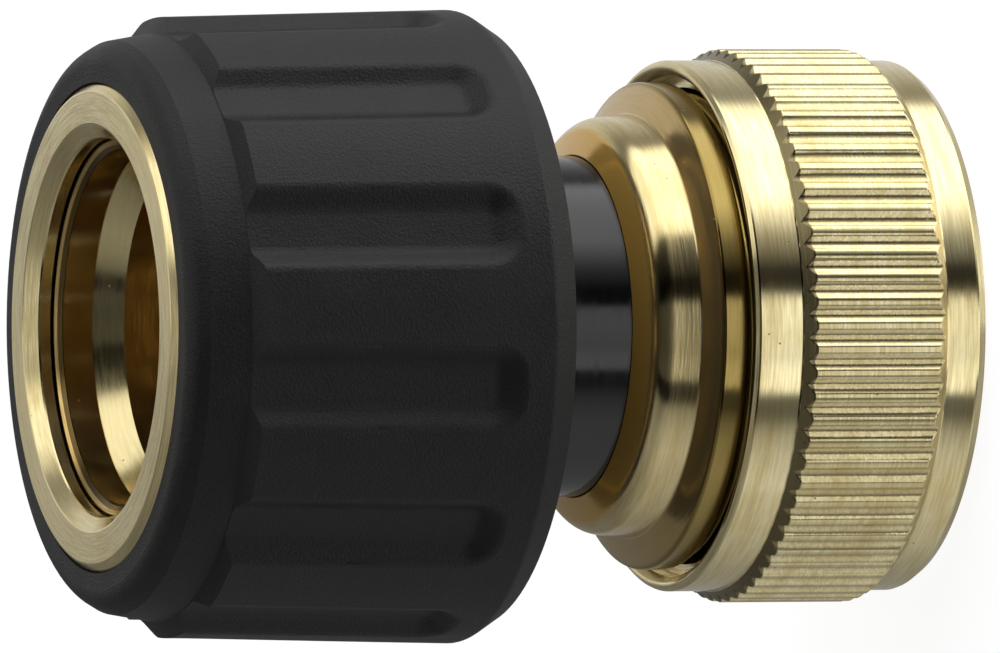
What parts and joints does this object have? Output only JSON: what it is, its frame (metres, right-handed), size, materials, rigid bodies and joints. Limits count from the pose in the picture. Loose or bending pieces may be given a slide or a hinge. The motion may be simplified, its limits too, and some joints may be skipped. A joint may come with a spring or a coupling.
{
  "type": "garden hose quick connector",
  "caption": "Female quick connector for a garden hose: ball-lock socket with a grooved rubber grip collar, flared brass tail and knurled clamp nut.",
  "frame": {"origin": "centre of the clamp nut's rear end face, on which the connector stands", "axes": "+Z along the connector's axis towards the mouth that takes the nipple; +X and +Y are free to turn, with a lock ball on +X"},
  "size_m": [0.0348, 0.0348, 0.047],
  "materials": {
    "turned_brass": "satin, brushed round the axis by turning",
    "gloss_black_plastic": "glossy",
    "black_plastic": "matt",
    "black_rubber": "matt with a fine grain",
    "seal_rubber": "smooth",
    "spring_steel": "bright drawn wire",
    "ball_steel": "polished",
    "white_plastic": "matt moulded"
  },
  "bodies": {
    "socket": {"socket_body": "turned_brass", "neck_sleeve": "gloss_black_plastic", "tail_body": "turned_brass", "tail_seal": "seal_rubber", "release_spring": "spring_steel"},
    "collar": {"front_ring": "turned_brass", "collar_shell": "turned_brass", "rubber_grip": "black_rubber", "rear_guide_ring": "black_plastic"},
    "ball_1": {"lock_ball_1": "ball_steel"},
    "ball_2": {"lock_ball_2": "ball_steel"},
    "ball_3": {"lock_ball_3": "ball_steel"},
    "ball_4": {"lock_ball_4": "ball_steel"},
    "ball_5": {"lock_ball_5": "ball_steel"},
    "ball_6": {"lock_ball_6": "ball_steel"},
    "collet": {"clamp_collet": "white_plastic"},
    "nut": {"clamp_nut": "turned_brass"}
  },
  "joints": [
    {"name": "collar_slide", "type": "slide", "parent": "socket", "child": "collar", "axis": [0, 0, -1], "range_m": [0, 0.0035], "stiffness_N_per_m": 2000, "springref_m": -0.006, "deforming": ["release_spring"]},
    {"name": "ball_1_lift", "type": "slide", "parent": "socket", "child": "ball_1", "axis": [1, 0, 0], "range_m": [0, 0.0008]},
    {"name": "ball_2_lift", "type": "slide", "parent": "socket", "child": "ball_2", "axis": [0.5, 0.866, 0], "range_m": [0, 0.0008]},
    {"name": "ball_3_lift", "type": "slide", "parent": "socket", "child": "ball_3", "axis": [-0.5, 0.866, 0], "range_m": [0, 0.0008]},
    {"name": "ball_4_lift", "type": "slide", "parent": "socket", "child": "ball_4", "axis": [-1, 0, 0], "range_m": [0, 0.0008]},
    {"name": "ball_5_lift", "type": "slide", "parent": "socket", "child": "ball_5", "axis": [-0.5, -0.866, 0], "range_m": [0, 0.0008]},
    {"name": "ball_6_lift", "type": "slide", "parent": "socket", "child": "ball_6", "axis": [0.5, -0.866, 0], "range_m": [0, 0.0008]},
    {"name": "collet_advance", "type": "slide", "parent": "socket", "child": "collet", "axis": [0, 0, -1], "range_m": [0, 0.004]},
    {"name": "nut_turn", "type": "hinge", "parent": "collet", "child": "nut", "pos_m": [0, 0, 0.0068], "axis": [0, 0, -1], "range_deg": [0, 720]}
  ],
  "couplings": [
    {"joint": "ball_1_lift", "follows": "collar_slide", "ratio": 0.22857},
    {"joint": "ball_2_lift", "follows": "collar_slide", "ratio": 0.22857},
    {"joint": "ball_3_lift", "follows": "collar_slide", "ratio": 0.22857},
    {"joint": "ball_4_lift", "follows": "collar_slide", "ratio": 0.22857},
    {"joint": "ball_5_lift", "follows": "collar_slide", "ratio": 0.22857},
    {"joint": "ball_6_lift", "follows": "collar_slide", "ratio": 0.22857},
    {"joint": "collet_advance", "follows": "nut_turn", "m_per_rad": 0.0003183}
  ]
}
